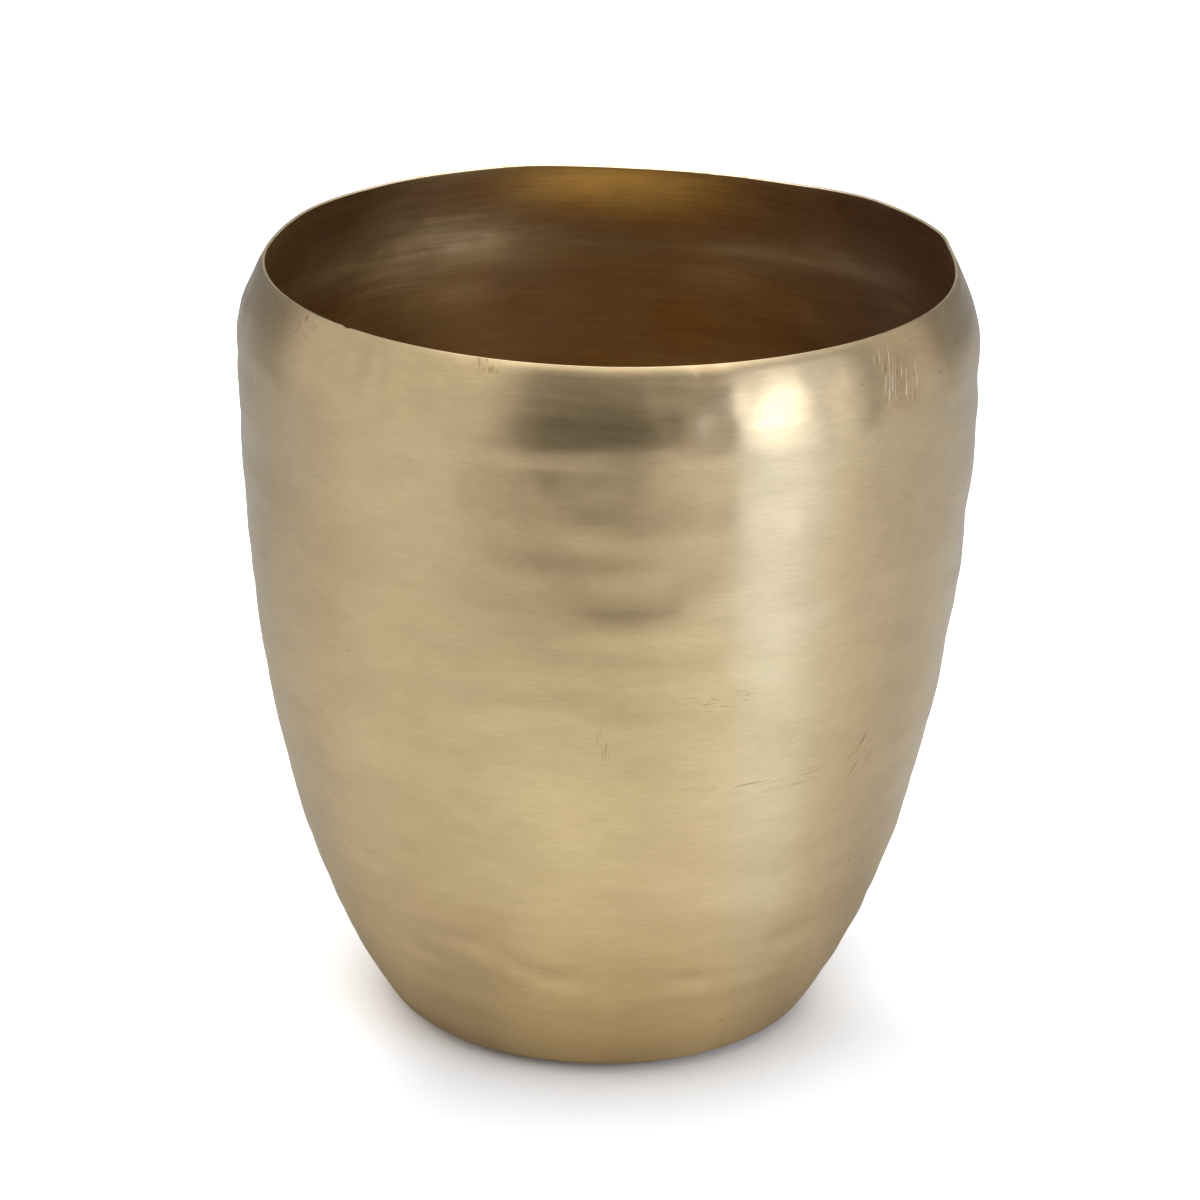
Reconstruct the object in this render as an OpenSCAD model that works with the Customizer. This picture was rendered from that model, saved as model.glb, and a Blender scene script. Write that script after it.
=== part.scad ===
// Hand-beaten brass planter pot: a thin sheet wall with a turned-in lip, a
// dished bottom disc lapped inside it, the braze that joins the two, and four
// felt pads that it stands on.
// The origin is the centre of the pads' undersides. +Z is up the pot's axis.

/* [Wall] */
// Outside diameter of the wall at its widest, in mm
belly_d = 160; // [152:1:190]
// Height of the brass, from its own underside to the rim
body_h = 170.4; // [150:0.2:200]
// Share of that height at which the wall is widest
belly_share = 0.876; // [0.8:0.002:0.9]
// Outside diameter of the wall at the rim
mouth_d = 149.2; // [136:0.2:156]
// Lean of the lip at the rim, inward from upright, in degrees
lip_lean = 29; // [15:1:40]
// Lean of the wall just above its foot, outward from upright, in degrees
foot_lean = 33; // [25:1:40]
// Thickness of the brass sheet
sheet_t = 0.7; // [0.5:0.1:1.2]

/* [Foot] */
// Outside diameter of the flat part of the foot
foot_d = 89.2; // [88.4:0.2:96]
// Outside radius of the rounded edge between foot and wall
foot_edge_r = 4.6; // [3:0.1:6]
// Diameter of the opening that the turned-in foot flange leaves
flange_hole_d = 64; // [50:1:70]

/* [Bottom] */
// Diameter of the bottom disc
base_d = 88; // [80:1:88]
// Thickness of the bottom disc
base_t = 0.9; // [0.7:0.1:1.4]
// Height by which the middle of the bottom is pushed up
dish_rise = 2.4; // [1:0.1:4]
// Diameter of the raised middle
dish_d = 44; // [30:1:48]
// Width of the slope from the flat rim of the bottom to its raised middle
dish_slope_w = 7; // [4:0.5:8]

/* [Braze] */
// Height of the braze up the inside of the wall, above the bottom disc
braze_h = 1.4; // [0.8:0.1:2]

/* [Pads] */
// Number of felt pads
pad_count = 4; // [4:1:4]
// Diameter of a pad
pad_d = 10; // [6:0.5:11]
// Thickness of a pad
pad_t = 1.2; // [0.8:0.1:2]
// Rounding of a pad's lower edge
pad_edge_r = 0.4; // [0.2:0.1:0.6]
// Diameter of the circle that the pads' centres lie on
pad_ring_d = 77; // [70:1:78]

/* [Hidden] */
$fn = 128;

belly_r = belly_d / 2;
foot_r = foot_d / 2;
base_r = base_d / 2;
belly_z = belly_share * body_h;

// Lengths of the curve handles that shape the wall between its named points
foot_handle = 0.474 * belly_r;
belly_handle_down = 0.797 * belly_r;
belly_handle_up = 0.035 * belly_r;
lip_handle = 0.175 * belly_r;

// Steps along the rounded edge, the long flank, the lip, the bottom's slope and
// the braze
edge_steps = 6;
flank_steps = 18;
lip_steps = 6;
slope_steps = 6;
braze_steps = 6;

// Where the hollow face of the braze is deepest, as shares of its width and height
braze_hollow = [0.35, 0.2];

// A point at part t along the cubic curve with ends a, d and handles b, c,
// and the curve's direction there
function cubic(a, b, c, d, t) =
    pow(1 - t, 3) * a + 3 * pow(1 - t, 2) * t * b + 3 * (1 - t) * t * t * c + pow(t, 3) * d;
function cubic_way(a, b, c, d, t) =
    3 * pow(1 - t, 2) * (b - a) + 6 * (1 - t) * t * (c - b) + 3 * t * t * (d - c);

// The point a distance `in` inside p, where the outline runs in the direction v
function inward(p, v, in) = p + in * [-v[1], v[0]] / norm(v);

// The rounded edge between foot and wall, as [radius, height], `in` mm inside
// the outer face
function edge_point(in, a) =
    [foot_r, foot_edge_r] + (foot_edge_r - in) * [cos(a), sin(a)];
function edge(in) =
    [for (i = [0 : edge_steps]) edge_point(in, -90 + i / edge_steps * (90 - foot_lean))];

// The four points of the long flank's curve and of the lip's curve
foot_end = edge_point(0, -foot_lean);
belly = [belly_r, belly_z];
rim = [mouth_d / 2, body_h];
flank_curve = [foot_end,
               foot_end + foot_handle * [sin(foot_lean), cos(foot_lean)],
               belly - [0, belly_handle_down],
               belly];
lip_curve = [belly,
             belly + [0, belly_handle_up],
             rim + lip_handle * [sin(lip_lean), -cos(lip_lean)],
             rim];

function along(q, in, t) =
    inward(cubic(q[0], q[1], q[2], q[3], t), cubic_way(q[0], q[1], q[2], q[3], t), in);
function flank(in) = [for (i = [1 : flank_steps]) along(flank_curve, in, i / flank_steps)];
function lip(in) = [for (i = [1 : lip_steps]) along(lip_curve, in, i / lip_steps)];
function wall_face(in) = concat(edge(in), flank(in), lip(in));

function reversed(list) = [for (i = [len(list) - 1 : -1 : 0]) list[i]];

// Angle on the rounded edge, below level, at which the inner face is z mm
// above the pot's own underside
function edge_angle(z) = -asin((foot_edge_r - z) / (foot_edge_r - sheet_t));

module on_pads() {
    translate([0, 0, pad_t]) children();
}

// Beaten sheet wall: foot flange, rounded edge, flank, belly and lip
module wall_shell() {
    flange_r = flange_hole_d / 2;
    color([0.73, 0.61, 0.42]) on_pads() rotate_extrude()
        polygon(concat([[flange_r, 0]],
                       wall_face(0),
                       reversed(wall_face(sheet_t)),
                       [[flange_r, sheet_t]]));
}

// Bottom disc, laid on the flange inside the wall, its middle pushed up so
// that it stands steady and stays flat
module base_disc() {
    slope = [for (i = [0 : slope_steps])
        [dish_d / 2 + dish_slope_w * (1 - i / slope_steps),
         dish_rise * (1 - cos(180 * i / slope_steps)) / 2]];
    under = concat([[base_r, 0]], slope, [[0, dish_rise]]);
    color([0.66, 0.53, 0.33]) on_pads() translate([0, 0, sheet_t]) rotate_extrude()
        polygon(concat(under, reversed([for (p = under) p + [0, base_t]])));
}

// Fillet of braze that fills the corner between the disc's edge and the wall
module braze_seam() {
    disc_top = sheet_t + base_t;
    start = edge_angle(sheet_t);
    end = edge_angle(disc_top + braze_h);
    wall_side = [for (i = [0 : braze_steps])
        edge_point(sheet_t, start + i / braze_steps * (end - start))];
    top = wall_side[braze_steps];
    hollow = [base_r + braze_hollow[0] * (top[0] - base_r),
              disc_top + braze_hollow[1] * braze_h];
    color([0.80, 0.70, 0.48]) on_pads() rotate_extrude()
        polygon(concat([[base_r, sheet_t]],
                       wall_side,
                       [hollow, [base_r, disc_top]]));
}

// Round felt pad with a softened lower edge
module felt_pad(number) {
    turn = 45 + 360 * (number - 1) / pad_count;
    flat_r = pad_d / 2 - pad_edge_r;
    color([0.16, 0.15, 0.14]) rotate([0, 0, turn]) translate([pad_ring_d / 2, 0, 0])
        rotate_extrude($fn = 48)
            polygon(concat([[0, 0]],
                           [for (a = [-90 : 30 : 0])
                               [flat_r, pad_edge_r] + pad_edge_r * [cos(a), sin(a)]],
                           [[pad_d / 2, pad_t], [0, pad_t]]));
}

wall_shell();
base_disc();
braze_seam();
for (number = [1 : pad_count])
    felt_pad(number);
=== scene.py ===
"""Hand-beaten brass planter pot.

A thin brass wall raised from an outline and beaten out of true, a dished bottom
lapped inside it, the bead of braze that joins the two, four felt pads, and a
small studio to see them in. Sizes are in metres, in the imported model's frame.
"""
import math

import bmesh
import bpy
from bpy.props import FloatProperty, FloatVectorProperty, IntProperty, PointerProperty
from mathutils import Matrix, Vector


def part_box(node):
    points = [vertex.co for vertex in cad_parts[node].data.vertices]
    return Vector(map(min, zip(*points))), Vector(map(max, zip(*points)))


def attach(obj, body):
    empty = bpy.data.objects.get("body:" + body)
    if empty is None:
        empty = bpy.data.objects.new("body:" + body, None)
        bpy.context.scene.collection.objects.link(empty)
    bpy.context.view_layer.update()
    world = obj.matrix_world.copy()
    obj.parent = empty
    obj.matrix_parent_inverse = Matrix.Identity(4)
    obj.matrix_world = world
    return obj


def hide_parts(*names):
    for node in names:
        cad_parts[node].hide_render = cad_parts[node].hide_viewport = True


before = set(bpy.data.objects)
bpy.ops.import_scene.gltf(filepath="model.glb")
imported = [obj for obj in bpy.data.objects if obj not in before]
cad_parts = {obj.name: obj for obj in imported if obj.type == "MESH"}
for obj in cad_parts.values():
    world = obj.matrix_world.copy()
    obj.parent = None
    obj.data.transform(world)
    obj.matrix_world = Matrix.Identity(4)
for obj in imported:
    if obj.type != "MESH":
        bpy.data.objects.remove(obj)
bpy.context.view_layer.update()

bl_info = {
    "name": "Beaten Brass Planter",
    "version": (1, 0, 0),
    "blender": (4, 5, 0),
    "location": "View3D > Sidebar > Planter",
    "description": "Builds a hand-beaten brass planter pot and a studio to see it in",
    "category": "Add Mesh",
}

MM = 0.001
WALL_LOW, WALL_HIGH = (Vector(corner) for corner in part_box("wall_shell"))
DISC_LOW, DISC_HIGH = (Vector(corner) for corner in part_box("base_disc"))
BRAZE_LOW, BRAZE_HIGH = (Vector(corner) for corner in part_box("braze_seam"))
PAD_NODES = sorted(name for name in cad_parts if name.startswith("felt_pad_"))


# ---------------------------------------------------------------- settings

class PotWallSettings(bpy.types.PropertyGroup):
    """Shape of the beaten wall."""
    belly_share: FloatProperty(
        name="Belly height", description="Share of the height at which the wall is widest",
        default=0.876, min=0.5, max=0.95)
    mouth_radius: FloatProperty(
        name="Mouth radius", description="Outside radius at the rim",
        default=74.6 * MM, unit="LENGTH")
    lip_lean: FloatProperty(
        name="Lip lean", description="Inward lean of the lip at the rim",
        default=math.radians(29), subtype="ANGLE")
    foot_lean: FloatProperty(
        name="Foot lean", description="Outward lean of the wall just above the foot",
        default=math.radians(33), subtype="ANGLE")
    foot_radius: FloatProperty(
        name="Foot radius", description="Radius of the flat of the foot",
        default=44.6 * MM, unit="LENGTH")
    foot_edge: FloatProperty(
        name="Foot edge", description="Radius of the rounding between foot and wall",
        default=4.6 * MM, unit="LENGTH")
    flange_radius: FloatProperty(
        name="Flange radius", description="Radius of the hole that the foot flange leaves",
        default=32 * MM, unit="LENGTH")
    sheet: FloatProperty(
        name="Sheet", description="Thickness of the brass sheet",
        default=0.7 * MM, unit="LENGTH")
    swell: FloatProperty(
        name="Swell", description="Depth of the broad swells left by raising the wall",
        default=1.2 * MM, unit="LENGTH")
    ripple: FloatProperty(
        name="Ripple", description="Depth of the ripples that run part of the way round",
        default=0.75 * MM, unit="LENGTH")
    planish: FloatProperty(
        name="Planishing", description="Depth of the small marks of the planishing hammer",
        default=0.20 * MM, unit="LENGTH")
    sectors: IntProperty(
        name="Sectors", description="Faces around the wall", default=320, min=32)


class PotBottomSettings(bpy.types.PropertyGroup):
    """Shape of the bottom, the braze round it and the pads under it."""
    thickness: FloatProperty(
        name="Bottom sheet", description="Thickness of the bottom's sheet",
        default=0.9 * MM, unit="LENGTH")
    dish_radius: FloatProperty(
        name="Dish radius", description="Radius of the pushed-up middle of the bottom",
        default=22 * MM, unit="LENGTH")
    dish_slope: FloatProperty(
        name="Dish slope", description="Width of the slope round the pushed-up middle",
        default=7 * MM, unit="LENGTH")
    braze_rise: FloatProperty(
        name="Braze height", description="Height of the braze up the wall",
        default=1.4 * MM, unit="LENGTH")
    pad_edge: FloatProperty(
        name="Pad edge", description="Rounding of a felt pad's lower edge",
        default=0.4 * MM, unit="LENGTH")


class PotFinishSettings(bpy.types.PropertyGroup):
    """Colours and sheen of the finishes."""
    brass: FloatVectorProperty(
        name="Brass", description="Colour of the freshly brushed brass",
        default=(0.655, 0.500, 0.287), subtype="COLOR", min=0, max=1)
    tarnish: FloatVectorProperty(
        name="Tarnish", description="Colour of the brass where it has dulled",
        default=(0.56, 0.405, 0.225), subtype="COLOR", min=0, max=1)
    inside: FloatVectorProperty(
        name="Inside brass", description="Colour of the unbrushed brass inside",
        default=(0.60, 0.452, 0.235), subtype="COLOR", min=0, max=1)
    base: FloatVectorProperty(
        name="Bottom brass", description="Colour of the bottom's brass",
        default=(0.60, 0.44, 0.235), subtype="COLOR", min=0, max=1)
    polish: FloatProperty(
        name="Roughness", description="Roughness of the brushed brass",
        default=0.30, min=0, max=1)
    inside_polish: FloatProperty(
        name="Inside roughness", description="Roughness of the unbrushed brass inside",
        default=0.38, min=0, max=1)
    braze: FloatVectorProperty(
        name="Braze", description="Colour of the brazing alloy",
        default=(0.60, 0.475, 0.275), subtype="COLOR", min=0, max=1)
    felt: FloatVectorProperty(
        name="Felt", description="Colour of the felt",
        default=(0.035, 0.032, 0.030), subtype="COLOR", min=0, max=1)


class PotStudioSettings(bpy.types.PropertyGroup):
    """Camera and lights."""
    elevation: FloatProperty(
        name="Elevation", description="Angle that the camera looks down by",
        default=math.radians(21.2), subtype="ANGLE")
    distance: FloatProperty(
        name="Distance", description="From the camera to the point it aims at",
        default=0.96, unit="LENGTH")
    aim_height: FloatProperty(
        name="Aim height", description="Height on the pot's axis that the camera aims at",
        default=92.7 * MM, unit="LENGTH")
    roll: FloatProperty(
        name="Roll", description="Turn of the camera about its line of sight",
        default=math.radians(1.0), subtype="ANGLE")
    aim_aside: FloatProperty(
        name="Aim aside", description="How far to the viewer's left of the axis the camera aims",
        default=1.1 * MM, unit="LENGTH")
    lens: FloatProperty(
        name="Lens", description="Focal length on a 36 mm sensor, in mm", default=129.8)
    room: FloatProperty(
        name="Room", description="Brightness of the pale room around the pot", default=0.28)


# ---------------------------------------------------------------- mesh tools

def pick(obj):
    """Make one object the active and only selected one."""
    bpy.ops.object.select_all(action="DESELECT")
    obj.select_set(True)
    bpy.context.view_layer.objects.active = obj


def edit(obj):
    pick(obj)
    bpy.ops.object.mode_set(mode="EDIT")


def leave_edit():
    bpy.ops.object.mode_set(mode="OBJECT")


def select_where(obj, test):
    """In edit mode, select just the vertices whose place passes the test."""
    bpy.ops.mesh.select_mode(type="VERT")
    bpy.ops.mesh.select_all(action="DESELECT")
    mesh = bmesh.from_edit_mesh(obj.data)
    for vertex in mesh.verts:
        vertex.select = test(vertex.co)
    mesh.select_flush(True)
    bmesh.update_edit_mesh(obj.data)


def spun(name, outline, sectors):
    """Draw an outline of (radius, height) points and spin it round the axis."""
    bpy.ops.object.select_all(action="DESELECT")
    bpy.ops.mesh.primitive_plane_add(size=MM)
    obj = bpy.context.object
    obj.name = name
    edit(obj)
    bpy.ops.mesh.merge(type="CENTER")
    bpy.ops.transform.translate(value=(outline[0][0], 0, outline[0][1]))
    for (r0, z0), (r1, z1) in zip(outline, outline[1:]):
        bpy.ops.mesh.extrude_region_move(
            TRANSFORM_OT_translate={"value": (r1 - r0, 0, z1 - z0)})
    bpy.ops.mesh.select_all(action="SELECT")
    bpy.ops.mesh.spin(steps=sectors, angle=math.tau, center=(0, 0, 0), axis=(0, 0, 1))
    bpy.ops.mesh.select_all(action="SELECT")
    bpy.ops.mesh.remove_doubles(threshold=0.01 * MM)
    bpy.ops.mesh.normals_make_consistent(inside=False)
    leave_edit()
    return obj


def finish_with(obj, kind, **values):
    """Add a modifier, set it and apply it."""
    pick(obj)
    modifier = obj.modifiers.new(kind.title(), kind)
    for key, value in values.items():
        setattr(modifier, key, value)
    bpy.ops.object.modifier_apply(modifier=modifier.name)


def beat(obj, around, up, depth, shift, group="", way="NORMAL"):
    """Push the surface in and out by soft noise of the given widths."""
    texture = bpy.data.textures.new("hammer", "CLOUDS")
    texture.noise_scale = 1.0
    texture.noise_depth = 1
    bpy.ops.object.select_all(action="DESELECT")
    bpy.ops.object.empty_add(location=shift)
    guide = bpy.context.object
    guide.scale = (around, around, up)
    bpy.context.view_layer.update()
    finish_with(obj, "DISPLACE", texture=texture, texture_coords="OBJECT",
                texture_coords_object=guide, strength=depth, mid_level=0.5,
                direction=way, vertex_group=group)
    bpy.data.objects.remove(guide)
    bpy.data.textures.remove(texture)


def weigh(obj, name, weight):
    """Give every vertex a weight worked out from its place."""
    group = obj.vertex_groups.new(name=name)
    for vertex in obj.data.vertices:
        group.add([vertex.index], weight(vertex.co), "REPLACE")
    return group


def ramp(value, low, high):
    """0 below low, 1 above high, smooth between."""
    t = min(max((value - low) / (high - low), 0.0), 1.0)
    return t * t * (3 - 2 * t)


def bearing(co):
    """Degrees round the pot from the front, growing to the viewer's right."""
    return math.degrees(math.atan2(co.x, -co.y))


def outward(at):
    """Level unit vector away from the axis at a bearing."""
    return Vector((math.sin(math.radians(at)), -math.cos(math.radians(at)), 0))


def take_run(obj, at, half_width, height):
    """In edit mode, select a level run of the wall round a bearing."""
    row = 1.3 * MM
    select_where(obj, lambda co: abs(co.z - height) < row
                 and abs((bearing(co) - at + 180) % 360 - 180) < half_width)


def press(obj, at, half_width, height, reach, depth):
    """Press a run of the wall in towards the axis, fading over the reach."""
    take_run(obj, at, half_width, height)
    shrink = 1 - depth / WALL_HIGH.x
    bpy.ops.transform.resize(
        value=(shrink, shrink, 1), center_override=(0, 0, height),
        use_proportional_edit=True, proportional_edit_falloff="SMOOTH",
        proportional_size=reach)


def pull(obj, at, half_width, height, reach, out, up):
    """Move a run of the wall outwards and upwards, fading over the reach."""
    take_run(obj, at, half_width, height)
    bpy.ops.transform.translate(
        value=out * outward(at) + Vector((0, 0, up)),
        use_proportional_edit=True, proportional_edit_falloff="SMOOTH",
        proportional_size=reach)


def note_depth_below_rim(obj, name):
    """Store on every vertex how far it is below the rim straight above it."""
    tops = {}
    for vertex in obj.data.vertices:
        sector = round(bearing(vertex.co))
        tops[sector] = max(tops.get(sector, 0), vertex.co.z)
    layer = obj.data.attributes.new(name, "FLOAT", "POINT")
    for vertex in obj.data.vertices:
        layer.data[vertex.index].value = tops[round(bearing(vertex.co))] - vertex.co.z


def settle(obj, replaced):
    """Shade a finished piece, tie it to the pot and hide the part that it stands for."""
    pick(obj)
    bpy.ops.object.shade_smooth_by_angle(angle=math.radians(50))
    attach(obj, "root")
    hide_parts(replaced)


# ---------------------------------------------------------------- outlines

def cubic(a, b, c, d, t):
    """Point at part t of the curve with ends a, d and handles b, c."""
    s = 1 - t
    return s ** 3 * a + 3 * s * s * t * b + 3 * s * t * t * c + t ** 3 * d


def wall_outline(wall):
    """(radius, height) points up the outer face: flange, edge, flank and lip."""
    edge_steps, flank_steps, lip_steps = 8, 92, 16
    belly_r = (WALL_HIGH.x - WALL_LOW.x) / 2
    height = WALL_HIGH.z - WALL_LOW.z
    centre = Vector((wall.foot_radius, wall.foot_edge))
    points = [Vector((wall.flange_radius, 0))]
    for i in range(1, 5):
        points.append(points[0].lerp(Vector((wall.foot_radius, 0)), i / 4))
    for i in range(1, edge_steps + 1):
        a = math.radians(-90) + i / edge_steps * (math.radians(90) - wall.foot_lean)
        points.append(centre + wall.foot_edge * Vector((math.cos(a), math.sin(a))))
    belly = Vector((belly_r, wall.belly_share * height))
    rim = Vector((wall.mouth_radius, height))
    rise = Vector((math.sin(wall.foot_lean), math.cos(wall.foot_lean)))
    turn = Vector((math.sin(wall.lip_lean), -math.cos(wall.lip_lean)))
    up = Vector((0, 1))
    start = points[-1]
    flank = (start, start + 0.474 * belly_r * rise, belly - 0.797 * belly_r * up, belly)
    lip = (belly, belly + 0.035 * belly_r * up, rim + 0.175 * belly_r * turn, rim)
    points += [cubic(*flank, i / flank_steps) for i in range(1, flank_steps + 1)]
    points += [cubic(*lip, i / lip_steps) for i in range(1, lip_steps + 1)]
    return [(p.x, p.y + WALL_LOW.z) for p in points]


def bottom_outline(bottom):
    """(radius, height) points round the bottom's section, from axis to axis."""
    edge_r = DISC_HIGH.x
    rise = DISC_HIGH.z - DISC_LOW.z - bottom.thickness
    chamfer = 0.15 * MM
    middle_steps, slope_steps, border_steps = 9, 10, 6
    under = [(bottom.dish_radius * i / middle_steps, rise) for i in range(middle_steps)]
    for i in range(slope_steps + 1):
        fall = (1 + math.cos(math.pi * i / slope_steps)) / 2
        under.append((bottom.dish_radius + bottom.dish_slope * i / slope_steps, rise * fall))
    start = under[-1][0]
    for i in range(1, border_steps + 1):
        under.append((start + (edge_r - chamfer - start) * i / border_steps, 0))
    top = [(r, z + bottom.thickness) for r, z in reversed(under)]
    side = [(edge_r, chamfer), (edge_r, bottom.thickness - chamfer)]
    return [(r, z + DISC_LOW.z) for r, z in under + side + top]


def braze_outline(wall, bottom):
    """(radius, height) points round the braze's hollow-faced section."""
    bed = 0.1 * MM
    inner = wall.foot_edge - wall.sheet + bed
    centre = Vector((wall.foot_radius, WALL_LOW.z + wall.foot_edge))
    corner = Vector((DISC_HIGH.x - 2 * bed, DISC_LOW.z + bottom.thickness))
    low = Vector((corner.x, DISC_LOW.z + bed))
    tip = corner.y + bottom.braze_rise
    steps = 6
    first, last = (math.asin((z - centre.y) / inner) for z in (low.y, tip))
    side = [centre + inner * Vector((math.cos(a), math.sin(a))) for a in
            (first + (last - first) * i / steps for i in range(steps + 1))]
    toe = corner - Vector((1.3 * MM, -bed))
    hollow = [cubic(side[-1], side[-1].lerp(corner, 0.5), toe.lerp(corner, 0.7), toe, i / steps)
              for i in range(1, steps + 1)]
    loop = [low, *side[1:], *hollow, corner - Vector((1.3 * MM, bed)), low]
    return [(p.x, p.y) for p in loop]


def pad_outline(radius, thickness, edge):
    """(radius, height) points round half of a felt pad's section."""
    rings, steps = 5, 4
    flat = radius - edge
    under = [(flat * i / rings, 0) for i in range(rings + 1)]
    for i in range(1, steps + 1):
        a = math.radians(-90 + 90 * i / steps)
        under.append((flat + edge * math.cos(a), edge + edge * math.sin(a)))
    top = [(radius, thickness * 0.7), (radius - 0.1 * MM, thickness)]
    top += [(flat * i / rings, thickness) for i in range(rings, -1, -1)]
    return under + top


# ---------------------------------------------------------------- finishes

class Bench:
    """Adds nodes to a tree and wires them up."""

    def __init__(self, tree):
        self.tree = tree

    def add(self, kind, sockets=None, **settings):
        node = self.tree.nodes.new(kind)
        for key, value in settings.items():
            setattr(node, key, value)
        for key, value in (sockets or {}).items():
            self.feed(node.inputs[key], value)
        return node

    def feed(self, socket, value):
        if isinstance(value, bpy.types.NodeSocket):
            self.tree.links.new(value, socket)
        else:
            socket.default_value = value

    def times(self, *values, clamp=False):
        """One value or socket multiplied by another."""
        return self.sum("MULTIPLY", *values, clamp=clamp)

    def sum(self, operation, *values, clamp=False):
        node = self.add("ShaderNodeMath", operation=operation, use_clamp=clamp)
        for socket, value in zip(node.inputs, values):
            self.feed(socket, value)
        return node.outputs[0]

    def step(self, value, low, high, out_low=0.0, out_high=1.0):
        node = self.add("ShaderNodeMapRange", interpolation_type="SMOOTHSTEP", sockets={
            "Value": value, "From Min": low, "From Max": high,
            "To Min": out_low, "To Max": out_high})
        return node.outputs["Result"]

    def mix(self, factor, a, b, blend="MIX"):
        node = self.add("ShaderNodeMix", data_type="RGBA", blend_type=blend)
        self.feed(node.inputs[0], factor)
        self.feed(node.inputs[6], a)
        self.feed(node.inputs[7], b)
        return node.outputs[2]

    def noise(self, place, scale, detail=2.0, roughness=0.5):
        node = self.add("ShaderNodeTexNoise", sockets={
            "Vector": place, "Scale": scale, "Detail": detail, "Roughness": roughness})
        return node.outputs["Fac"]


def new_group(name, inputs, outputs):
    """An empty shader node group with float or vector sockets."""
    group = bpy.data.node_groups.new(name, "ShaderNodeTree")
    for label, kind, value in inputs:
        socket = group.interface.new_socket(label, in_out="INPUT", socket_type=kind)
        if value is not None:
            socket.default_value = value
    for label, kind in outputs:
        group.interface.new_socket(label, in_out="OUTPUT", socket_type=kind)
    bench = Bench(group)
    return bench, bench.add("NodeGroupInput").outputs, bench.add("NodeGroupOutput").inputs


FLOAT, VECTOR = "NodeSocketFloat", "NodeSocketVector"


def wall_place_group():
    """Where a point is on the pot: bearing in degrees, radius and height."""
    bench, given, out = new_group(
        "Place on pot", [("Place", VECTOR, None)],
        [("Bearing", FLOAT), ("Radius", FLOAT), ("Height", FLOAT)])
    split = bench.add("ShaderNodeSeparateXYZ", {"Vector": given["Place"]}).outputs
    turn = bench.sum("ARCTAN2", split["X"], bench.times(split["Y"], -1.0))
    bench.feed(out["Bearing"], bench.sum("DEGREES", turn))
    bench.feed(out["Radius"], bench.sum("SQRT", bench.sum(
        "ADD", bench.sum("POWER", split["X"], 2.0), bench.sum("POWER", split["Y"], 2.0))))
    bench.feed(out["Height"], split["Z"])
    return bench.tree


def brush_grain_group():
    """Fine lines that run round the pot, as a brushing belt leaves them."""
    bench, given, out = new_group(
        "Brush grain",
        [("Place", VECTOR, None), ("Lines per metre", FLOAT, 900.0),
         ("Stretch", FLOAT, 60.0)],
        [("Grain", FLOAT)])
    split = bench.add("ShaderNodeSeparateXYZ", {"Vector": given["Place"]}).outputs
    radius = bench.sum("SQRT", bench.sum(
        "ADD", bench.sum("POWER", split["X"], 2.0), bench.sum("POWER", split["Y"], 2.0)))
    climb = bench.sum("MULTIPLY_ADD", radius, 0.6, split["Z"])
    along = bench.sum("DIVIDE", given["Lines per metre"], given["Stretch"])
    place = bench.add("ShaderNodeCombineXYZ", {
        "X": bench.times(split["X"], along),
        "Y": bench.times(split["Y"], along),
        "Z": bench.times(climb, given["Lines per metre"])}).outputs[0]
    bench.feed(out["Grain"], bench.noise(place, 1.0, detail=2.0, roughness=0.6))
    return bench.tree


def pit_group():
    """Sparse small pits: a few cells of a cell pattern hold one each."""
    bench, given, out = new_group(
        "Pits",
        [("Place", VECTOR, None), ("Cells per metre", FLOAT, 60.0),
         ("Pit radius", FLOAT, 0.02), ("Share", FLOAT, 0.3)],
        [("Pit", FLOAT)])
    cells = bench.add("ShaderNodeTexVoronoi", {
        "Vector": given["Place"], "Scale": given["Cells per metre"]})
    spot = bench.step(cells.outputs["Distance"], 0.0, given["Pit radius"], 1.0, 0.0)
    chosen = bench.add("ShaderNodeSeparateXYZ", {"Vector": cells.outputs["Color"]})
    kept = bench.sum("LESS_THAN", chosen.outputs["X"], given["Share"])
    bench.feed(out["Pit"], bench.times(spot, kept))
    return bench.tree


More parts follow.
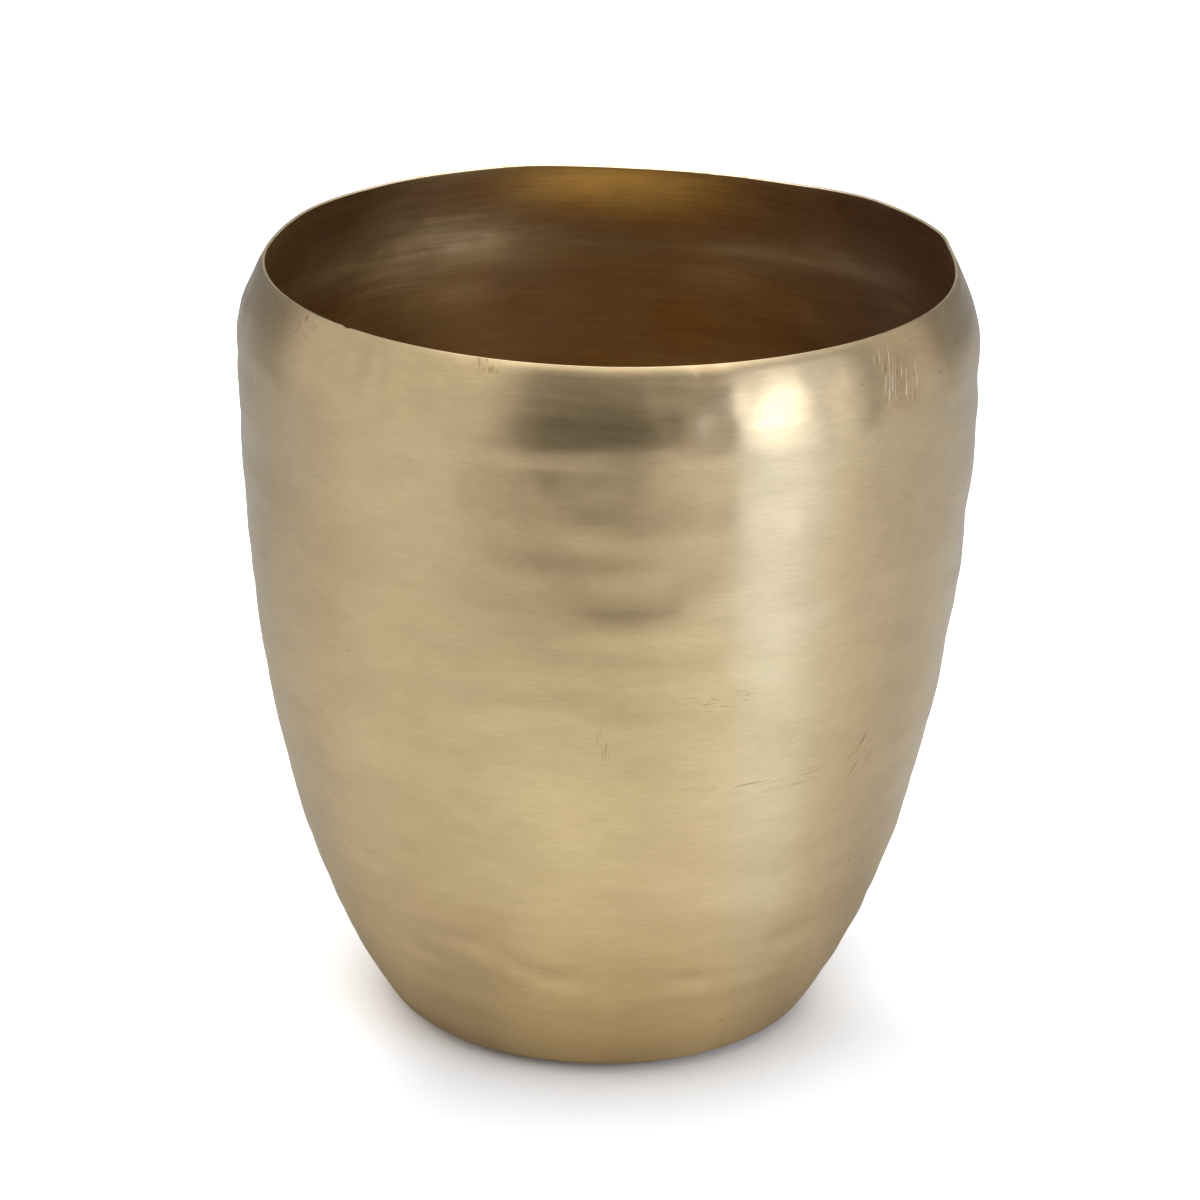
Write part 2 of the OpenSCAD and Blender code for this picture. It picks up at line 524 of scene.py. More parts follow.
def scratch_group():
    """A patch of broken parallel scratches at a bearing and a height."""
    bench, given, out = new_group(
        "Scratch patch",
        [("Bearing", FLOAT, 0.0), ("Height", FLOAT, 0.0),
         ("At bearing", FLOAT, 0.0), ("At height", FLOAT, 0.1),
         ("Half width mm", FLOAT, 5.0), ("Half height mm", FLOAT, 5.0),
         ("Lean", FLOAT, 0.0), ("Lines per mm", FLOAT, 1.5),
         ("Stretch", FLOAT, 8.0), ("Sparse", FLOAT, 0.62)],
        [("Scratch", FLOAT)])
    mm_per_degree = 1.36
    u = bench.times(bench.sum(
        "SUBTRACT", given["Bearing"], given["At bearing"]), mm_per_degree)
    v = bench.times(bench.sum(
        "SUBTRACT", given["Height"], given["At height"]), 1000.0)
    inside = bench.times(*(
        bench.step(bench.sum("DIVIDE", bench.sum("ABSOLUTE", side), half), 0.55, 1.0, 1.0, 0.0)
        for side, half in ((u, given["Half width mm"]), (v, given["Half height mm"]))))
    lean = bench.sum("RADIANS", given["Lean"])
    sine, cosine = bench.sum("SINE", lean), bench.sum("COSINE", lean)
    across = bench.sum("SUBTRACT", bench.times(u, cosine), bench.times(v, sine))
    along = bench.sum("ADD", bench.times(u, sine), bench.times(v, cosine))
    place = bench.add("ShaderNodeCombineXYZ", {
        "X": bench.times(across, given["Lines per mm"]),
        "Y": bench.sum("DIVIDE", bench.times(along, given["Lines per mm"]),
                       given["Stretch"]),
        "Z": given["At bearing"]}).outputs[0]
    lines = bench.noise(place, 1.0, detail=1.0)
    sparse = given["Sparse"]
    mark = bench.step(lines, sparse, bench.sum("ADD", sparse, 0.05))
    bench.feed(out["Scratch"], bench.times(inside, mark))
    return bench.tree


def soft_spot_group():
    """A soft-edged spot at a bearing and a height, its outline made uneven by noise."""
    bench, given, out = new_group(
        "Soft spot",
        [("Place", VECTOR, None), ("Bearing", FLOAT, 0.0), ("Height", FLOAT, 0.0),
         ("At bearing", FLOAT, 0.0), ("At height", FLOAT, 0.1),
         ("Half width", FLOAT, 5.0), ("Half height mm", FLOAT, 5.0)],
        [("Spot", FLOAT)])
    turn = bench.sum("WRAP", bench.sum("SUBTRACT", given["Bearing"], given["At bearing"]),
                     180.0, -180.0)
    climb = bench.times(bench.sum("SUBTRACT", given["Height"], given["At height"]), 1000.0)
    u = bench.sum("DIVIDE", turn, given["Half width"])
    v = bench.sum("DIVIDE", climb, given["Half height mm"])
    away = bench.sum("SQRT", bench.sum("MULTIPLY_ADD", u, u, bench.times(v, v)))
    uneven = bench.sum("SUBTRACT", bench.noise(given["Place"], 130.0, detail=3.0), 0.5)
    away = bench.sum("MULTIPLY_ADD", uneven, 0.9, away)
    bench.feed(out["Spot"], bench.step(away, 0.15, 1.15, 1.0, 0.0))
    return bench.tree


def group(bench, name, **sockets):
    """Place a shader node group and wire up its inputs, spaces as underscores."""
    return bench.add("ShaderNodeGroup", node_tree=bpy.data.node_groups[name], sockets={
        key.replace("_", " "): value for key, value in sockets.items()}).outputs


def start_finish(name, rough, metal, **fixed):
    """A new material with its constant values set, and a bench to work on it."""
    material = bpy.data.materials.new(name)
    material.use_nodes = True
    shader = material.node_tree.nodes["Principled BSDF"]
    shader.inputs["Roughness"].default_value = rough
    shader.inputs["Metallic"].default_value = metal
    for key, value in fixed.items():
        shader.inputs[key.replace("_", " ")].default_value = value
    bench = Bench(material.node_tree)
    return bench, shader.inputs, bench.add("ShaderNodeTexCoord").outputs["Object"]


SCRATCHES = (
    # bearing, height, half width mm, half height mm, lean, lines per mm, stretch, sparse
    (49, 0.1625, 8.0, 6.5, 14, 2.0, 10, 0.60),
    (47, 0.0785, 5.5, 6.0, 38, 2.0, 20, 0.59),
    (28, 0.0775, 17.0, 2.2, 86, 2.2, 24, 0.61),
    (18, 0.0995, 8.0, 3.0, 99, 2.2, 9, 0.62),
    (0, 0.0905, 1.6, 5.0, 0, 2.2, 14, 0.62),
    (-55, 0.1690, 7.0, 2.6, 14, 1.6, 7, 0.60),
    (-19, 0.1702, 3.4, 1.6, -12, 2.4, 6, 0.58),
    (-150, 0.1100, 12.0, 6.0, 70, 2.0, 16, 0.63),
    (125, 0.0650, 7.0, 8.0, 20, 2.2, 14, 0.63),
)
PAINTED_GLINTS = (
    # as above, for fresh scratches, with a painted glint along their lines
    (46.5, 0.1640, 4.0, 6.5, 15, 2.4, 16, 0.62),
    (51.5, 0.1610, 3.5, 4.5, 18, 2.2, 12, 0.62),
    (-148, 0.1120, 8.0, 4.0, 66, 2.0, 16, 0.63),
)
SMUDGES_AND_PAINTED_SHADE = (
    # dark spots painted on the outside, mostly painted shade, some of it deepening a groove's dark
    # band, and two smudges at bearings 150 and -118: bearing, height, half width in degrees, half
    # height mm, share
    (50, 0.1640, 6.0, 10.0, 0.44),
    (59, 0.1670, 6.0, 8.0, 0.40),
    (12, 0.1590, 4.0, 4.0, 0.30),
    (15, 0.1700, 2.6, 3.0, 0.30),
    (-40, 0.1665, 1.7, 6.0, 0.18),
    (-36, 0.1650, 1.2, 4.5, 0.15),
    (-13, 0.1600, 2.2, 6.0, 0.16),
    (4, 0.1200, 9.0, 1.5, 0.20),
    (-15, 0.1205, 5.0, 1.6, 0.12),
    (-16, 0.1410, 3.0, 1.8, 0.12),
    (-2, 0.1405, 3.0, 2.0, 0.12),
    (-27, 0.0370, 5.0, 2.6, 0.16),
    (18, 0.0300, 6.0, 2.2, 0.14),
    (-9, 0.0300, 6.0, 2.0, 0.12),
    (150, 0.1480, 7.0, 7.0, 0.26),
    (-118, 0.1200, 9.0, 6.0, 0.22),
)


def all_scratches(bench, spot, rows):
    """The scratch patches of a table, as one mask."""
    mask = 0.0
    for at, height, wide, high, lean, lines, stretch, sparse in rows:
        patch = group(bench, "Scratch patch", Bearing=spot["Bearing"], Height=spot["Height"],
                      At_bearing=at, At_height=height, Half_width_mm=wide, Half_height_mm=high,
                      Lean=lean, Lines_per_mm=lines, Stretch=stretch, Sparse=sparse)["Scratch"]
        mask = bench.sum("MAXIMUM", mask, patch)
    return mask


def all_spots(bench, spot, place, rows):
    """The soft spots of a table, each at its share, as one mask."""
    mask = 0.0
    for at, height, wide, high, share in rows:
        one = group(bench, "Soft spot", Place=place, Bearing=spot["Bearing"],
                    Height=spot["Height"], At_bearing=at, At_height=height,
                    Half_width=wide, Half_height_mm=high)["Spot"]
        mask = bench.sum("MULTIPLY_ADD", one, share, mask)
    return mask


def wall_finish(finish):
    """Satin brass brushed round the pot, dulled in patches and scratched, with painted shade,
    smudges and painted glints.
    """
    bench, shader, place = start_finish(
        "brushed_brass", finish.polish, 1.0, Anisotropic=0.75, Anisotropic_Rotation=0.25)
    spot = group(bench, "Place on pot", Place=place)
    fine = group(bench, "Brush grain", Place=place, Lines_per_metre=2300.0, Stretch=9.0)["Grain"]
    coarse = group(bench, "Brush grain", Place=place, Lines_per_metre=700.0, Stretch=14.0)["Grain"]
    pits = group(bench, "Pits", Place=place, Cells_per_metre=75.0, Pit_radius=0.035,
                 Share=1.0)["Pit"]
    worn = group(bench, "Brush grain", Place=place, Lines_per_metre=110.0, Stretch=2.6)["Grain"]
    scratched = all_scratches(bench, spot, SCRATCHES)
    painted_glints = all_scratches(bench, spot, PAINTED_GLINTS)
    smudge_and_painted_shade = all_spots(bench, spot, place, SMUDGES_AND_PAINTED_SHADE)
    below_rim = bench.add("ShaderNodeAttribute", attribute_name="below_rim").outputs["Fac"]
    edge = bench.step(below_rim, 0.2 * MM, 1.1 * MM, 1.0, 0.0)

    patches = bench.step(bench.noise(place, 16.0, detail=4.0), 0.42, 0.64)
    blush = bench.step(bench.noise(place, 9.0, detail=1.0), 0.42, 0.60)
    colour = bench.mix(bench.times(patches, 0.30),
                       (*finish.brass, 1), (*finish.tarnish, 1))
    colour = bench.mix(bench.times(blush, 0.35), colour, (0.66, 0.488, 0.315, 1))
    colour = bench.mix(bench.step(worn, 0.40, 0.62, 0.0, 0.24), colour, (0.50, 0.362, 0.205, 1))
    colour = bench.mix(bench.step(fine, 0.35, 0.65, 0.0, 0.11), colour, (0.25, 0.18, 0.10, 1))
    colour = bench.mix(bench.times(edge, 0.12), colour, (0.80, 0.66, 0.42, 1))
    # painted shade and two smudges: darker spots on the outside
    colour = bench.mix(smudge_and_painted_shade, colour, (0.34, 0.21, 0.12, 1))
    colour = bench.mix(bench.times(scratched, 0.55), colour, (0.28, 0.17, 0.07, 1))
    # painted glints along fresh scratches
    colour = bench.mix(bench.times(painted_glints, 0.70), colour, (0.97, 0.88, 0.70, 1))
    colour = bench.mix(bench.times(pits, 0.75), colour, (0.07, 0.04, 0.02, 1))
    bench.feed(shader["Base Color"], colour)

    rough = bench.step(coarse, 0.3, 0.7, finish.polish - 0.01, finish.polish + 0.02)
    rough = bench.sum("MULTIPLY_ADD", patches, 0.05, rough)
    rough = bench.sum("MULTIPLY_ADD", edge, 0.06, rough)
    bench.feed(shader["Roughness"], rough)

    height = bench.sum("ADD", bench.times(fine, 0.30), bench.times(coarse, 0.10))
    height = bench.sum("MULTIPLY_ADD", scratched, -0.9, height)
    height = bench.sum("MULTIPLY_ADD", pits, -2.0, height)
    bump = bench.add("ShaderNodeBump", {
        "Strength": 0.25, "Distance": 0.008 * MM, "Height": height})
    bench.feed(shader["Normal"], bump.outputs["Normal"])


SHEENS = (
    # highlights painted on the inside, fixed to the wall in any light:
    # bearing, height, half width in degrees, half height mm, share
    (-151, 0.1560, 15.0, 6.0, 0.95),
    (-141, 0.1480, 14.0, 8.0, 0.50),
    (138, 0.1590, 7.0, 4.0, 0.22),
    (124, 0.1470, 6.0, 4.0, 0.20),
    (168, 0.1390, 10.0, 4.0, 0.12),
)
PAINTED_SHADE_INSIDE = (
    # painted shade on the inside, fixed to the wall in any light, columns as above
    (147, 0.1510, 20.0, 6.0, 0.60),
    (-165, 0.1440, 14.0, 8.0, 0.45),
    (-170, 0.1300, 16.0, 8.0, 0.25),
)


def inside_finish(finish):
    """Inside brass, with painted shade, a painted grey reflection, a painted golden highlight and
    painted highlights on it.
    """
    bench, shader, place = start_finish(
        "inside_brass", finish.inside_polish, 1.0, Anisotropic=0.65, Anisotropic_Rotation=0.25)
    spot = group(bench, "Place on pot", Place=place)
    grain = group(bench, "Brush grain", Place=place, Lines_per_metre=1300.0, Stretch=18.0)["Grain"]
    pits = group(bench, "Pits", Place=place, Cells_per_metre=75.0, Share=0.2)["Pit"]
    cloudy = bench.step(bench.noise(place, 22.0, detail=3.0, roughness=0.55), 0.38, 0.66)
    streaks = group(bench, "Brush grain", Place=place, Lines_per_metre=380.0, Stretch=16.0)["Grain"]
    # painted highlights from SHEENS, broken up by brush streaks
    sheen = all_spots(bench, spot, place, SHEENS)
    sheen = bench.times(sheen, bench.step(streaks, 0.38, 0.62, 0.45, 1.35), clamp=True)
    # painted shade in places on the inside
    painted_inside_shade = all_spots(bench, spot, place, PAINTED_SHADE_INSIDE)
    # a painted golden highlight near the top of the back wall inside
    behind = bench.sum("ABSOLUTE", bench.sum("WRAP", bench.sum(
        "SUBTRACT", spot["Bearing"], 178.0), 180.0, -180.0))
    painted_golden_highlight = bench.times(bench.step(behind, 10.0, 30.0, 1.0, 0.0),
                       bench.step(spot["Height"], 0.156, 0.166))
    # painted shade: darker and redder below the lip, deeper inside the pot
    painted_deep_shade = bench.step(spot["Height"], 0.142, 0.160, 1.0, 0.0)
    # a painted grey reflection on the right of the inside
    painted_grey_reflection = bench.times(bench.step(spot["Bearing"], 95.0, 110.0),
                     bench.step(spot["Bearing"], 118.0, 152.0, 1.0, 0.0))
    colour = bench.mix(painted_deep_shade, (*finish.inside, 1), (0.54, 0.335, 0.125, 1))
    colour = bench.mix(bench.times(painted_grey_reflection, 0.8), colour, (0.62, 0.465, 0.36, 1))
    colour = bench.mix(bench.times(cloudy, 0.30), colour, (0.42, 0.28, 0.13, 1))
    colour = bench.mix(painted_inside_shade, colour, (0.42, 0.28, 0.16, 1))
    colour = bench.mix(painted_golden_highlight, colour, (0.78, 0.66, 0.31, 1))
    colour = bench.mix(sheen, colour, (0.92, 0.70, 0.37, 1))
    colour = bench.mix(bench.step(grain, 0.35, 0.65, 0.0, 0.20), colour, (0.24, 0.15, 0.07, 1))
    colour = bench.mix(bench.times(pits, 0.6), colour, (0.08, 0.045, 0.02, 1))
    bench.feed(shader["Base Color"], colour)
    bench.feed(shader["Roughness"], bench.step(
        cloudy, 0.0, 1.0, finish.inside_polish - 0.03, finish.inside_polish + 0.04))
    bump = bench.add("ShaderNodeBump", {
        "Strength": 0.2, "Distance": 0.008 * MM, "Height": grain})
    bench.feed(shader["Normal"], bump.outputs["Normal"])


def rim_finish():
    """The cut edge of the sheet, filed bright, with nibbles along it."""
    bench, shader, place = start_finish("rim_brass", 0.3, 1.0)
    nibble = bench.noise(place, 420.0, detail=3.0, roughness=0.6)
    colour = bench.mix(bench.step(nibble, 0.50, 0.68), (0.84, 0.70, 0.48, 1), (0.66, 0.51, 0.31, 1))
    bench.feed(shader["Base Color"], colour)
    bench.feed(shader["Roughness"], bench.step(nibble, 0.3, 0.7, 0.30, 0.48))
    bump = bench.add("ShaderNodeBump", {
        "Strength": 0.4, "Distance": 0.05 * MM, "Height": nibble})
    bench.feed(shader["Normal"], bump.outputs["Normal"])


def bottom_finish(finish):
    """Spun brass, its rings dulled and spotted by the heat of the brazing."""
    bench, shader, place = start_finish(
        "bottom_brass", finish.polish + 0.04, 1.0, Anisotropic=0.5)
    spot = group(bench, "Place on pot", Place=place)
    rings = group(bench, "Brush grain", Place=place, Lines_per_metre=1500.0, Stretch=40.0)["Grain"]
    pits = group(bench, "Pits", Place=place, Cells_per_metre=110.0, Share=0.25)["Pit"]
    cloudy = bench.step(bench.noise(place, 45.0, detail=5.0, roughness=0.6), 0.42, 0.66)
    scorch = bench.step(bench.sum("MULTIPLY_ADD", cloudy, 6 * MM, spot["Radius"]), 34 * MM, 46 * MM)
    colour = bench.mix(bench.times(cloudy, 0.5), (*finish.base, 1), (0.46, 0.32, 0.16, 1))
    colour = bench.mix(bench.step(rings, 0.35, 0.65, 0.0, 0.2), colour, (0.26, 0.17, 0.08, 1))
    colour = bench.mix(bench.times(scorch, 0.5), colour, (0.33, 0.18, 0.10, 1))
    colour = bench.mix(bench.times(pits, 0.6), colour, (0.08, 0.045, 0.02, 1))
    bench.feed(shader["Base Color"], colour)
    bench.feed(shader["Roughness"], bench.step(
        cloudy, 0.0, 1.0, finish.polish + 0.02, finish.polish + 0.14))
    bump = bench.add("ShaderNodeBump", {
        "Strength": 0.35, "Distance": 0.012 * MM, "Height": rings})
    bench.feed(shader["Normal"], bump.outputs["Normal"])


def braze_finish(finish):
    """Brazing alloy as it froze: paler than the brass, with flux stains."""
    bench, shader, place = start_finish("braze_alloy", 0.36, 1.0)
    blobs = bench.noise(place, 260.0, detail=4.0, roughness=0.6)
    stains = bench.step(bench.noise(place, 90.0, detail=5.0, roughness=0.7), 0.46, 0.62)
    colour = bench.mix(bench.step(blobs, 0.4, 0.7), (*finish.braze, 1), (0.52, 0.38, 0.19, 1))
    colour = bench.mix(bench.times(stains, 0.45), colour, (0.30, 0.20, 0.11, 1))
    bench.feed(shader["Base Color"], colour)
    bench.feed(shader["Roughness"], bench.step(stains, 0.0, 1.0, 0.42, 0.62))
    bump = bench.add("ShaderNodeBump", {
        "Strength": 0.5, "Distance": 0.06 * MM, "Height": blobs})
    bench.feed(shader["Normal"], bump.outputs["Normal"])


def felt_finish(finish):
    """Pressed felt: matted fibres, paler where the nap stands up."""
    bench, shader, place = start_finish(
        "pressed_felt", 0.95, 0.0, Sheen_Weight=0.35, Sheen_Roughness=0.5)
    fibres = bench.noise(place, 3200.0, detail=4.0, roughness=0.75)
    tufts = bench.noise(place, 700.0, detail=3.0, roughness=0.6)
    nap = bench.step(bench.sum("ADD", fibres, tufts), 0.8, 1.2)
    colour = bench.mix(nap, (*finish.felt, 1), (0.11, 0.10, 0.095, 1))
    bench.feed(shader["Base Color"], colour)
    bump = bench.add("ShaderNodeBump", {
        "Strength": 0.9, "Distance": 0.12 * MM, "Height": bench.sum("ADD", fibres, tufts)})
    bench.feed(shader["Normal"], bump.outputs["Normal"])


def floor_finish():
    """Floor: white to the camera, with painted light making it brighter to the left and right.

    To all other rays it is toned by bearing and distance with painted light and shade: darker
    sides and back, a dark stripe in front, a painted glow, a painted spill of the key light and a
    painted shadow near the pot. The tones are there for what the brass reflects. Some are
    above 1, which no real floor has.
    """
    material = bpy.data.materials.new("floor_paper")
    material.use_nodes = True
    tree = material.node_tree
    bench = Bench(tree)
    tree.nodes.remove(tree.nodes["Principled BSDF"])
    place = bench.add("ShaderNodeTexCoord").outputs["Object"]
    spot = group(bench, "Place on pot", Place=place)
    at, far = spot["Bearing"], spot["Radius"]

    # painted shade for the brass to reflect: darker to the sides and back, a dark stripe in front
    left = bench.step(at, -132.0, -50.0, 0.68, 1.0)
    right = bench.step(at, 45.0, 115.0, 1.0, 0.70)
    stripe = bench.times(bench.step(at, -46.0, -34.0), bench.step(at, 30.0, 40.0, 1.0, 0.0))
    stripe = bench.times(stripe, bench.sum(
        "ADD", bench.step(far, 0.27, 0.36, 0.0, 0.22), bench.step(far, 0.40, 0.95, 0.0, 0.26)))
    # a painted glow in front
    glow = bench.times(bench.step(at, -42.0, 2.0), bench.step(at, 34.0, 62.0, 1.0, 0.0))
    glow = bench.times(glow, bench.step(far, 0.22, 0.34, 1.0, 0.0))
    banks = bench.noise(bench.add("ShaderNodeCombineXYZ", {
        "X": bench.times(at, 0.028), "Y": bench.times(far, 17.0),
        "Z": 2.7}).outputs[0], 1.0, detail=2.0)
    # painted shade at the far left
    corner = bench.times(bench.step(at, -98.0, -72.0, 0.12, 0.0), bench.step(far, 0.28, 0.42))
    shade = bench.times(bench.times(left, right),
                      bench.sum("SUBTRACT", 1.0, corner))
    shade = bench.times(shade, bench.step(banks, 0.30, 0.70, 0.90, 1.09))
    # a painted spill of the key light
    spill = bench.times(bench.step(at, 32.0, 42.0), bench.step(at, 49.0, 72.0, 1.0, 0.0))
    # a painted shadow near the pot
    painted_contact_shadow = bench.step(far, 0.050, 0.130, 1.0, 0.0)
    tone = bench.mix(bench.step(far, 0.25, 0.38), (0.80, 0.81, 0.80, 1), (0.80, 0.83, 0.87, 1))
    tone = bench.mix(glow, tone, (0.99, 1.03, 0.98, 1))
    tone = bench.mix(spill, tone, bench.mix(
        bench.step(far, 0.20, 0.40), (0.90, 1.02, 1.10, 1), (0.92, 1.08, 1.32, 1)))
    tone = bench.mix(painted_contact_shadow, tone, bench.mix(glow, (0.73, 0.69, 0.58, 1), (0.88, 0.84, 0.66, 1)))
    painted_shade_tint = bench.add("ShaderNodeCombineXYZ", {
        axis: bench.times(shade, bench.sum("MULTIPLY_ADD", stripe, -share, 1.0))
        for axis, share in (("X", 0.90), ("Y", 1.04), ("Z", 1.10))}).outputs[0]
    tone = bench.mix(1.0, tone, painted_shade_tint, "MULTIPLY")
    # to the camera: painted light, brighter to the left and right of the pot, above any real floor
    aside = bench.sum("ADD", bench.step(at, -75.0, -25.0, 1.75, 1.18),
                      bench.step(at, 60.0, 95.0, 0.0, 0.3))
    glare = bench.add("ShaderNodeCombineXYZ", {
        "X": aside, "Y": bench.times(aside, 1.02),
        "Z": bench.times(aside, 1.05)}).outputs[0]
    seen = bench.add("ShaderNodeLightPath").outputs["Is Camera Ray"]
    paper = bench.add("ShaderNodeBsdfDiffuse", {"Color": tone})
    burnt = bench.add("ShaderNodeBsdfDiffuse", {"Color": glare})
    both = bench.add("ShaderNodeMixShader", {0: seen})
    tree.links.new(paper.outputs[0], both.inputs[1])
    tree.links.new(burnt.outputs[0], both.inputs[2])
    tree.links.new(both.outputs[0], tree.nodes["Material Output"].inputs["Surface"])
    return material


def card_finish(name, colour):
    """Plain matt card."""
    bench, shader, _ = start_finish(name, 0.9, 0.0)
    shader["Base Color"].default_value = (*colour, 1)
    return bpy.data.materials[name]


def softbox_finish(name, strength, colour, even):
    """Lit cloth, even over a share of its half width and fading out at its edges."""
    material = bpy.data.materials.new(name)
    material.use_nodes = True
    tree = material.node_tree
    bench = Bench(tree)
    tree.nodes.remove(tree.nodes["Principled BSDF"])
    place = bench.add("ShaderNodeTexCoord").outputs["Object"]
    away = bench.times(group(bench, "Place on pot", Place=place)["Radius"], 2.0)
    front = bench.sum("SUBTRACT", 1.0, bench.add("ShaderNodeNewGeometry").outputs["Backfacing"])
    lit = bench.times(front, bench.step(away, even, 1.0, strength, 0.0))
    cloth = bench.add("ShaderNodeEmission", {"Color": (*colour, 1), "Strength": lit})
    tree.links.new(cloth.outputs[0], tree.nodes["Material Output"].inputs["Surface"])
    return material


# ---------------------------------------------------------------- operators

class POT_OT_finishes(bpy.types.Operator):
    """Mix the finishes that the pieces are given"""
    bl_idname = "pot.finishes"
    bl_label = "Finishes"

    def execute(self, context):
        finish = context.scene.pot_finish
        wall_place_group()
        brush_grain_group()
        pit_group()
        scratch_group()
        soft_spot_group()
        wall_finish(finish)
        inside_finish(finish)
        rim_finish()
        bottom_finish(finish)
        braze_finish(finish)
        felt_finish(finish)
        return {"FINISHED"}


class POT_OT_wall(bpy.types.Operator):
    """Raise the wall from its outline, beat it and give it its thickness"""
    bl_idname = "pot.wall"
    bl_label = "Beaten Wall"

    def execute(self, context):
        wall = context.scene.pot_wall
        obj = spun("beaten_wall", wall_outline(wall), wall.sectors)
        foot = WALL_LOW.z
        weigh(obj, "beaten", lambda co: ramp(co.z, foot + 1.5 * MM, foot + 14 * MM))
        beat(obj, 90 * MM, 70 * MM, wall.swell, (0.31, 0.12, 0.07), "beaten")
        beat(obj, 42 * MM, 10 * MM, wall.ripple, (0.11, 0.52, 0.03), "beaten")
        beat(obj, 15 * MM, 6 * MM, wall.planish, (0.71, 0.22, 0.05), "beaten")
        edit(obj)
        self.hammer(obj)
        self.bend_rim(obj)
        leave_edit()
        for finish in ("brushed_brass", "inside_brass", "rim_brass"):
            obj.data.materials.append(bpy.data.materials[finish])
        finish_with(obj, "SOLIDIFY", thickness=wall.sheet, offset=-1.0, use_even_offset=True,
                    material_offset=1, material_offset_rim=2)
        finish_with(obj, "BEVEL", width=0.14 * MM, segments=2, limit_method="ANGLE",
                    angle_limit=math.radians(60))
        note_depth_below_rim(obj, "below_rim")
        settle(obj, "wall_shell")
        return {"FINISHED"}

    def hammer(self, obj):
        """Grooves, ridges and dents that the hammer left, at their places."""
        # broken level grooves across the front, with low ridges under them
        for at, half_width, height, reach, depth in (
                (-16, 4, 144, 5.5, 0.20), (-2, 4, 144.5, 5.5, 0.22), (11, 5, 143.5, 6, 0.16),
                (-4, 10, 138, 5, -0.14), (-8, 7, 133, 5.5, 0.14), (-16, 4, 124.5, 4.5, 0.14),
                (4, 6, 123.5, 4.5, 0.26), (3, 9, 117.5, 4.5, -0.18)):
            press(obj, at, half_width, height * MM, reach * MM, depth * MM)
        # soft cups to the right of the front
        press(obj, 24, 4, 80 * MM, 11 * MM, 0.30 * MM)
        press(obj, 20, 4, 137 * MM, 9 * MM, 0.22 * MM)
        # blows of a small hammer on the lip
        for at, height, depth in ((9, 167, 0.26), (12, 163, -0.20), (15, 158, 0.24),
                                  (17, 166, -0.16), (34, 168, 0.18), (52, 163, 0.28)):
            press(obj, at, 1.4, height * MM, 4.5 * MM, depth * MM)
        # short wrinkles above the foot
        for at, height in ((-39, 30), (-25, 37), (-19, 33), (-8, 29), (19, 28),
                           (40, 34), (75, 30), (-80, 26), (120, 32), (-150, 30), (175, 27)):
            press(obj, at, 4, height * MM, 3.4 * MM, 0.34 * MM)
            press(obj, at + 3, 3, (height - 5) * MM, 3.2 * MM, -0.22 * MM)
        # a knuckle and a flat at the sides
        press(obj, -86, 5, 160 * MM, 9 * MM, -0.5 * MM)
        press(obj, 88, 7, 118 * MM, 13 * MM, 0.45 * MM)

    def bend_rim(self, obj):
        """Spring the lip out of round, crease it and nick its edge."""
        rim = WALL_HIGH.z
        pull(obj, -140, 22, rim, 30 * MM, 0.25 * MM, 0.85 * MM)
        pull(obj, 119, 8, rim, 34 * MM, 0.9 * MM, 1.2 * MM)
        pull(obj, 104, 1.2, rim + 0.8 * MM, 7 * MM, 0.3 * MM, 0.1 * MM)
        for at, reach in ((-42, 3.2), (-37.5, 2.6), (-21, 2.4)):
            press(obj, at, 0.8, rim - 2.5 * MM, reach * MM, 0.30 * MM)
        pull(obj, -46.3, 0.6, rim, 1.3 * MM, 0.1 * MM, -0.3 * MM)


class POT_OT_bottom(bpy.types.Operator):
    """Spin the dished bottom and planish its middle"""
    bl_idname = "pot.bottom"
    bl_label = "Dished Bottom"

    def execute(self, context):
        bottom = context.scene.pot_bottom
        obj = spun("dished_bottom", bottom_outline(bottom), 192)
        weigh(obj, "loose", lambda co: 1 - ramp(co.xy.length, 30 * MM, 38 * MM))
        beat(obj, 9 * MM, 30 * MM, 0.5 * MM, (0.23, 0.41, 0.0), "loose", "Z")
        obj.data.materials.append(bpy.data.materials["bottom_brass"])
        settle(obj, "base_disc")
        return {"FINISHED"}


class POT_OT_braze(bpy.types.Operator):
    """Run the bead of braze round the corner of wall and bottom"""
    bl_idname = "pot.braze"
    bl_label = "Braze Bead"

    def execute(self, context):
        outline = braze_outline(context.scene.pot_wall, context.scene.pot_bottom)
        obj = spun("braze_bead", outline, 240)
        bare = DISC_LOW.z + context.scene.pot_bottom.thickness
        weigh(obj, "bare", lambda co: ramp(co.z, bare, bare + 0.4 * MM))
        beat(obj, 5 * MM, 5 * MM, 0.45 * MM, (0.17, 0.05, 0.3), "bare")
        obj.data.materials.append(bpy.data.materials["braze_alloy"])
        settle(obj, "braze_seam")
        return {"FINISHED"}


